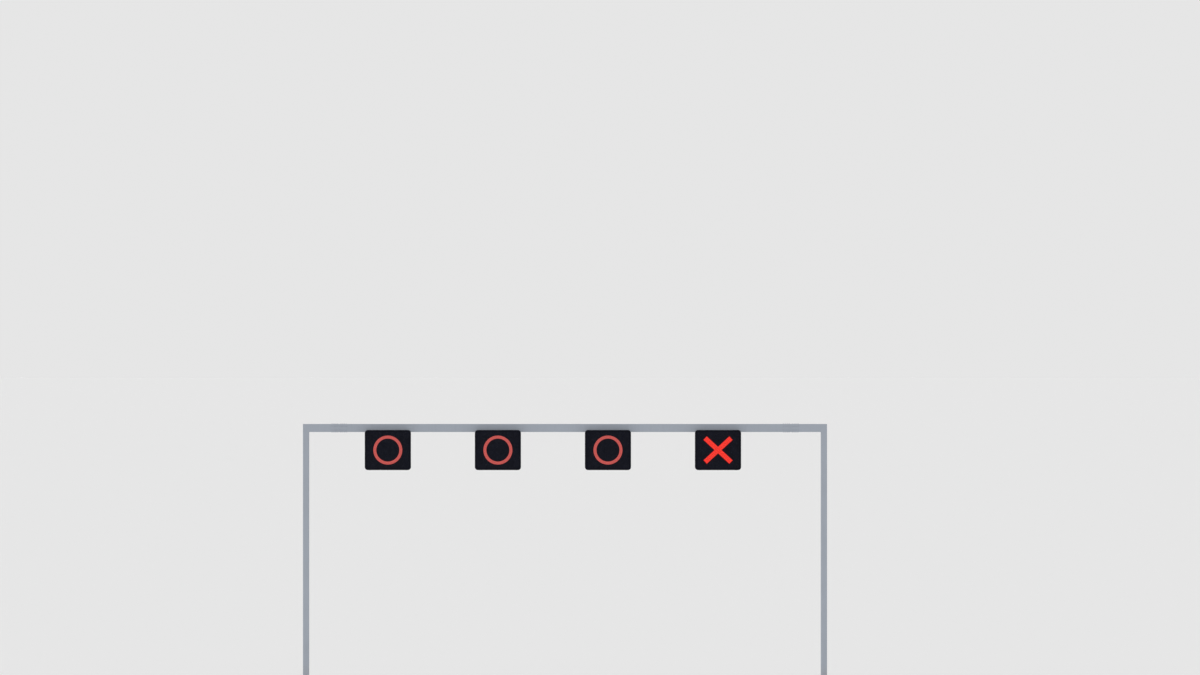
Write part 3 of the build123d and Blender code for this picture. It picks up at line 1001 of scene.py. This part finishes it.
def dress_door(name):
    """One service door's hinges, locks, handle, seal and drip rail."""
    low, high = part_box(name + "door")
    centre = (low + high) / 2
    metal = Soup()
    for z in HINGES:
        hinge(metal, low.x, low.y, high.y, centre.z + z)
    for z in LOCKS:
        place = facing(Vector((high.x - LOCK_INSET, high.y, centre.z + z)), Y)
        for profile, sides in ((LOCK_RIM, FINE), (LOCK_CORE, FAIR), (LOCK_PIN, 3)):
            metal.stack(turned(profile, sides), place)
    spots = ((-SUNK, -GRIP_HALF), (GRIP_REACH, -GRIP_HALF), (GRIP_REACH, GRIP_HALF), (-SUNK, GRIP_HALF))
    grip = [Vector((high.x - LOCK_INSET, high.y + out, centre.z + up)) for out, up in spots]
    swept(metal, bent(grip, GRIP_BEND), GRIP_RADIUS, ROUGH)
    for end in (grip[0], grip[-1]):
        metal.stack(turned(GRIP_FOOT, FAIR), facing(end, Y))
    metal.piece(name + "door_fittings", bright, "bracket_steel")
    trim = Soup()
    sealed_edge(trim, low, high, DOOR_CORNER, *DOOR_SEAL)
    trim.piece(name + "door_seal", black, "case_black")
    gutter = Soup()
    rings = []
    for x in (high.x + DRIP_LAP, low.x - DRIP_LAP):
        rings.append([Vector((x, low.y + out, high.z + DRIP_RISE + up)) for out, up in DRIP_SECTION])
    gutter.stack(rings)
    gutter.piece(name + "drip_rail", coat, "case_black", DRIP_EDGES)


# Cases. Trim bands: from and to, behind the case's front, then rise and chamfer
CASE_CORNER = 0.1
TRIM_RISE = 0.0018
BANDS = (
    (0.0055, 0.034, TRIM_RISE, 0.0006),
    (0.284, 0.2992, 0.7 * TRIM_RISE, 0.0005),
    (0.192, 0.198, 0.6 * TRIM_RISE, 0.0004),
)
BAND_LAP = 0.001
CASE_SCREW_LINE = 0.02
CASE_SCREWS_ACROSS = (-0.55, -0.33, -0.11, 0.11, 0.33, 0.55)
CASE_SCREWS_UP = (-0.46, -0.23, 0.0, 0.23, 0.46)
DRAINS, DRAIN_INSET = (-0.6, 0.0, 0.6), 0.055
DRAIN_NUT = (0.024, -SUNK, 0.004, 0.0008)
DRAIN_SPOUT = ((0.0085, 0.0038), (0.0085, 0.009), (0.007, 0.011), (0.004, 0.011), (0.004, 0.005))


def dress_case(name):
    """One sign case's trim bands, their screws, the air slots and the drain plugs."""
    low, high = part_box(name + "case")
    centre = (low + high) / 2
    place = facing(Vector((centre.x, low.y, centre.z)), -Y)
    bands = Soup()
    for front, back, rise, chamfer in BANDS:
        shoulder = rise - chamfer
        pairs = [(-BAND_LAP, -back), (shoulder, -back), (rise, chamfer - back)]
        pairs += [(rise, -front - chamfer), (shoulder, -front), (-BAND_LAP, -front)]
        rimmed(bands, (high.x - low.x, high.z - low.z), CASE_CORNER, place, pairs, 10)
    bands.piece(name + "case_bands", coat, "case_black")
    screws = Soup()
    y = low.y + CASE_SCREW_LINE
    for x in CASE_SCREWS_ACROSS:
        socket_screw(screws, Vector((centre.x + x, y, low.z - TRIM_RISE)), -Z, SMALL_SCREW)
        socket_screw(screws, Vector((centre.x + x, y, high.z + TRIM_RISE)), Z, SMALL_SCREW)
    for z in CASE_SCREWS_UP:
        socket_screw(screws, Vector((low.x - TRIM_RISE, y, centre.z + z)), -X, SMALL_SCREW)
        socket_screw(screws, Vector((high.x + TRIM_RISE, y, centre.z + z)), X, SMALL_SCREW)
    screws.piece(name + "case_screws", bright, "bracket_steel")
    slots = Soup()
    for x in (-SLOT_X, SLOT_X):
        for start in (LOW_SLOTS, HIGH_SLOTS):
            for i in range(SLOT_COUNT):
                air_slot(slots, Vector((centre.x + x, high.y, low.z + start + i * SLOT_PITCH)))
    slots.piece(name + "air_slots", coat, "case_black")
    drains = Soup()
    for x in DRAINS:
        place = facing(Vector((centre.x + x, high.y - DRAIN_INSET, low.z)), -Z)
        drains.stack(hexagon(*DRAIN_NUT), place)
        drains.stack(turned(DRAIN_SPOUT, COARSE), place)
    drains.piece(name + "drain_plugs", black, "case_black")


# Rails and hangers
HANGERS = (-0.5, 0.5)
HANGER_SIZE, HANGER_CORNER, HANGER_CAP = (0.06, 0.1), 0.008, 0.005
HANGER_LEG = 0.006
HANGER_SEAM = (0.003, 0.0009)
HANGER_PLATE = 0.015
PLATE_BOLTS, PLATE_FRONT, PLATE_BACK = (-0.07, 0.07), 0.036, 0.035
RAIL_BOLTS = (-0.016, 0.016)
RAIL_HALF = 0.03
PLUG = ((0.059, 0.059, -SUNK), (0.059, 0.059, 0.002), (0.056, 0.056, 0.0035))
PLUG_CORNER = 0.006


def dress_brackets(name):
    """The bolts, welds and end plugs of one sign's rails and hangers."""
    rail_low, rail_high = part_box(name + "rails")
    low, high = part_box(name + "hangers")
    rails = (rail_low.z + RAIL_HALF, rail_high.z - RAIL_HALF)
    plate_under = high.z - HANGER_PLATE
    tube_middle = rail_high.y + HANGER_SIZE[1] / 2
    tube_back = rail_high.y + HANGER_SIZE[1]
    bolts, beads = Soup(), Soup()
    for side in HANGERS:
        x = (low.x + high.x) / 2 + side
        for dx in PLATE_BOLTS:
            for y in (low.y + PLATE_FRONT, high.y - PLATE_BACK):
                bolt(bolts, Vector((x + dx, y, plate_under)), -Z, M20)
        for z in rails:
            for dz in RAIL_BOLTS:
                bolt(bolts, Vector((x, tube_back, z + dz)), Y, M12)
        top = Matrix.Translation((x, tube_middle, plate_under)) @ Matrix.Rotation(math.pi, 4, "X")
        fillet_round(beads, HANGER_SIZE, HANGER_CORNER, top, HANGER_LEG)
        bottom = Matrix.Translation((x, tube_middle, low.z + HANGER_CAP))
        seam_round(beads, HANGER_SIZE, HANGER_CORNER, bottom, *HANGER_SEAM)
    bolts.piece(name + "bracket_bolts", bright, "bracket_steel")
    beads.piece(name + "hanger_welds", bracket, "bracket_steel", BEAD_EDGES)
    plugs = Soup()
    for outward, x in ((-X, rail_low.x), (X, rail_high.x)):
        for z in rails:
            plate(plugs, PLUG, PLUG_CORNER, 4, facing(Vector((x, rail_low.y + RAIL_HALF, z)), outward))
    plugs.piece(name + "rail_plugs", black, "conduit_black")


# Conduits and their end fittings, with heights from what they are screwed into
CONDUIT_RADIUS = 0.016
CONDUIT_BEND = 0.07
CONDUIT_SIDES, CONDUIT_EDGES, BEND_STEPS = 28, 50, 24
GLAND_RADIUS = 0.025
BUSH = (0.046, -0.0003, 0.009, 0.0015)
BUSH_NUT, BUSH_NUT_TURN = (0.044, 0.0092, 0.0155, 0.0012), 0.4
COLLAR = (0.0205, 0.015, 0.023, 0.001)
CONDUIT_THREAD = (0.0168, 0.0008, 0.0023, 0.0225, 0.036)


def end_fitting(soup, point, outward):
    """A conduit's end: a hexagon bush, its lock nut, a collar and the turns of thread that still show."""
    place = facing(point, outward, chance.uniform(0, SIXTH))
    soup.stack(hexagon(*BUSH), place)
    soup.stack(hexagon(*BUSH_NUT), place @ Matrix.Rotation(BUSH_NUT_TURN, 4, "Z"))
    soup.stack(disc(*COLLAR, CONDUIT_SIDES), place)
    soup.stack(thread(*CONDUIT_THREAD, CONDUIT_SIDES), place)


def dress_conduit(sign):
    """One sign's conduit, bent from one steel pipe, and its end fittings. It replaces the plain solid."""
    name = sign + "conduit"
    low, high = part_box(name)
    x = (low.x + high.x) / 2
    start = Vector((x, high.y - GLAND_RADIUS, high.z))
    finish = Vector((x, low.y, low.z + GLAND_RADIUS))
    pipe = Soup()
    corner = Vector((x, start.y, finish.z))
    swept(pipe, bent([start, corner, finish], CONDUIT_BEND, BEND_STEPS), CONDUIT_RADIUS, CONDUIT_SIDES)
    end_fitting(pipe, start, -Z)
    end_fitting(pipe, finish, Y)
    made = pipe.piece(name + "_pipe", black, "conduit_black", CONDUIT_EDGES)
    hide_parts(name)


FLOOR_SIZE = 14000.0
FLOOR_LEVEL = -0.002


def add_floor():
    """The pale floor that the part stands on."""
    paint = Paint("pale_floor", Base_Color=FLOOR_COLOUR, Roughness=0.9, Specular_IOR_Level=0.1)
    half = FLOOR_SIZE / 2
    corners = [(-half, -half, 0), (half, -half, 0), (half, half, 0), (-half, half, 0)]
    floor = add_mesh("floor", corners, [(0, 1, 2, 3)], paint.material)
    floor.location = (middle("main_beam").x, 0, FLOOR_LEVEL)


add_camera()
add_light()
add_floor()
dress_solids()
for side in SIDES:
    dress_foot(side)
    dress_knee(side)
    dress_splice(side)
    dress_cover(side)
for name in SIGNS:
    dress_case(name)
    dress_door(name)
    dress_brackets(name)
    dress_conduit(name)
    dress_face(name)

bpy.context.scene.view_settings.view_transform = "Standard"
